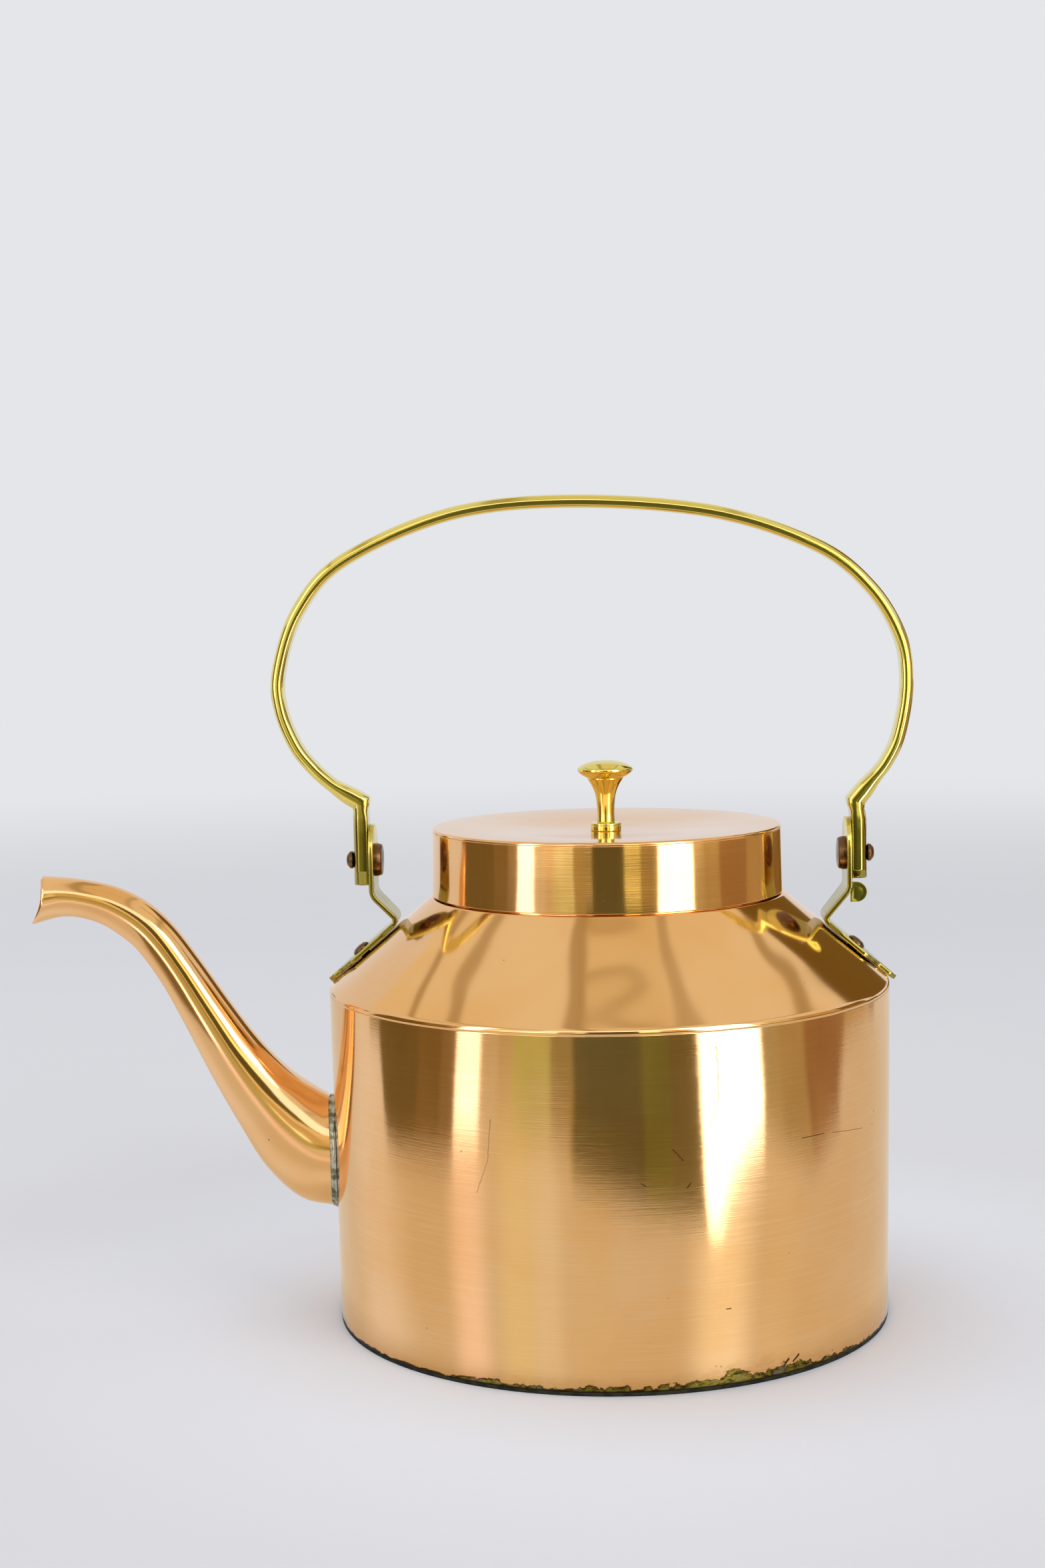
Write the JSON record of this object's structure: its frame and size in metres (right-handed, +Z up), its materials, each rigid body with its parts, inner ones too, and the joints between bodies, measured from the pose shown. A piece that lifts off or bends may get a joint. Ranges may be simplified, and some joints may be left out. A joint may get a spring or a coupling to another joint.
{
  "type": "stovetop kettle",
  "caption": "Cylindrical copper kettle with a conical shoulder, long swan-neck spout, deep lift-off lid with a turned brass knob, and a brass bail handle on riveted strip brackets.",
  "frame": {"origin": "centre of the base's underside, on the surface the kettle stands on", "axes": "+Z up along the body's axis; the spout points along -X; the handle stands in the XZ plane and swings about an axis along X; +Y is the far side, away from a viewer who has the spout on the left"},
  "size_m": [0.29, 0.1826, 0.2671],
  "materials": {
    "copper": "polished copper, finely brushed",
    "brass": "polished, slightly tarnished",
    "solder": "dull tin solder"
  },
  "bodies": {
    "kettle": {"bottom_plate": "copper", "body_wall": "copper", "shoulder": "copper", "neck_collar": "copper", "bottom_solder": "solder", "shoulder_solder": "solder", "neck_solder": "solder", "spout_tube": "copper", "spout_solder": "solder", "bracket_left": "brass", "bracket_right": "brass", "foot_rivet_left": "copper", "foot_rivet_right": "copper", "foot_rove_left": "copper", "foot_rove_right": "copper", "pivot_rivet_left": "copper", "pivot_rivet_right": "copper"},
    "lid": {"lid_plate": "copper", "lid_skirt": "copper", "knob": "brass", "knob_collar": "brass", "knob_washer": "brass"},
    "handle": {"handle": "brass"}
  },
  "joints": [
    {"name": "lid_lift", "type": "slide", "parent": "kettle", "child": "lid", "axis": [0, 0, 1], "range_m": [0, 0.06]},
    {"name": "handle_swing", "type": "hinge", "parent": "kettle", "child": "handle", "pos_m": [0, 0, 0.1494], "axis": [1, 0, 0], "range_deg": [-120, 108]}
  ]
}
